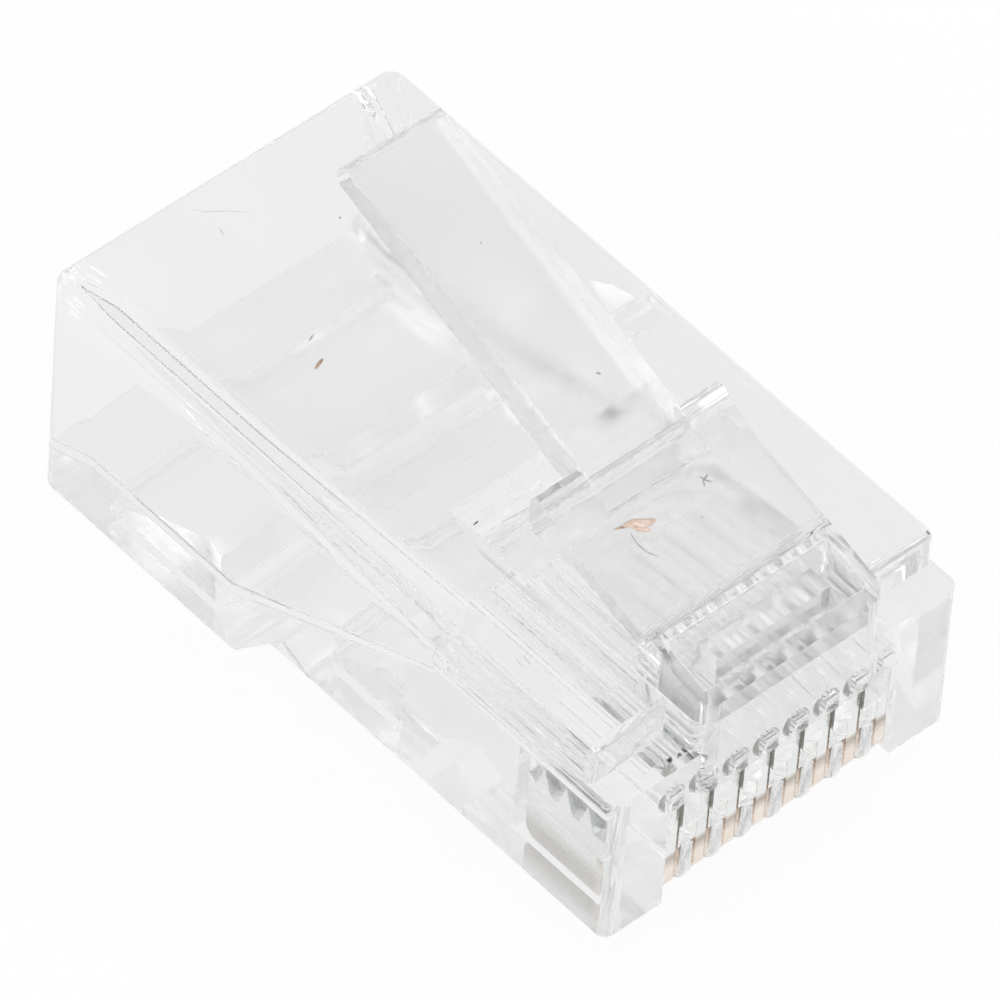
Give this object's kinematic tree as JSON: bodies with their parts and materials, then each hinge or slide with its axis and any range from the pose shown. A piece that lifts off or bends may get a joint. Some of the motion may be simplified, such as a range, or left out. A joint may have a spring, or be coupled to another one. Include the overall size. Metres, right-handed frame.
{
  "type": "modular plug",
  "caption": "Clear modular plug for crimping on a data cable, with a spring latch, side rails, a contact comb, gold blade contacts and an open cable entry",
  "frame": {"origin": "centre of the bounding box on the plane of the lowest face, under the middle of the plug", "axes": "+X to the plug's right seen from behind, -Y out of the nose, +Y out of the cable entry, +Z to the latch side"},
  "size_m": [0.0116, 0.0216, 0.0139],
  "materials": {
    "clear_plastic": "clear, glossy polycarbonate, faintly grey in the thick places",
    "gold_contact": "stamped copper alloy with a thin gold plating"
  },
  "bodies": {
    "housing_body": {"housing": "clear_plastic"},
    "latch_body": {"latch": "clear_plastic"},
    "jacket_bar_body": {"jacket_bar": "clear_plastic"},
    "conductor_bar_body": {"conductor_bar": "clear_plastic"},
    "contact_1_body": {"contact_1": "gold_contact"},
    "contact_2_body": {"contact_2": "gold_contact"},
    "contact_3_body": {"contact_3": "gold_contact"},
    "contact_4_body": {"contact_4": "gold_contact"},
    "contact_5_body": {"contact_5": "gold_contact"},
    "contact_6_body": {"contact_6": "gold_contact"},
    "contact_7_body": {"contact_7": "gold_contact"},
    "contact_8_body": {"contact_8": "gold_contact"}
  },
  "joints": [
    {"name": "latch_hinge", "type": "hinge", "parent": "housing_body", "child": "latch_body", "pos_m": [0, -0.00824, 0.00886], "axis": [1, 0, 0], "range_deg": [-20, 0], "stiffness_Nm_per_rad": 0.15},
    {"name": "jacket_bar_hinge", "type": "hinge", "parent": "housing_body", "child": "jacket_bar_body", "pos_m": [0, 0.00842, 0.00042], "axis": [1, 0, 0], "range_deg": [-25, 0]},
    {"name": "conductor_bar_hinge", "type": "hinge", "parent": "housing_body", "child": "conductor_bar_body", "pos_m": [0, 0.00018, 0.0019], "axis": [1, 0, 0], "range_deg": [-20, 0]},
    {"name": "contact_1_press", "type": "slide", "parent": "housing_body", "child": "contact_1_body", "axis": [0, 0, 1], "range_m": [0, 0.00055]},
    {"name": "contact_2_press", "type": "slide", "parent": "housing_body", "child": "contact_2_body", "axis": [0, 0, 1], "range_m": [0, 0.00055]},
    {"name": "contact_3_press", "type": "slide", "parent": "housing_body", "child": "contact_3_body", "axis": [0, 0, 1], "range_m": [0, 0.00055]},
    {"name": "contact_4_press", "type": "slide", "parent": "housing_body", "child": "contact_4_body", "axis": [0, 0, 1], "range_m": [0, 0.00055]},
    {"name": "contact_5_press", "type": "slide", "parent": "housing_body", "child": "contact_5_body", "axis": [0, 0, 1], "range_m": [0, 0.00055]},
    {"name": "contact_6_press", "type": "slide", "parent": "housing_body", "child": "contact_6_body", "axis": [0, 0, 1], "range_m": [0, 0.00055]},
    {"name": "contact_7_press", "type": "slide", "parent": "housing_body", "child": "contact_7_body", "axis": [0, 0, 1], "range_m": [0, 0.00055]},
    {"name": "contact_8_press", "type": "slide", "parent": "housing_body", "child": "contact_8_body", "axis": [0, 0, 1], "range_m": [0, 0.00055]}
  ]
}
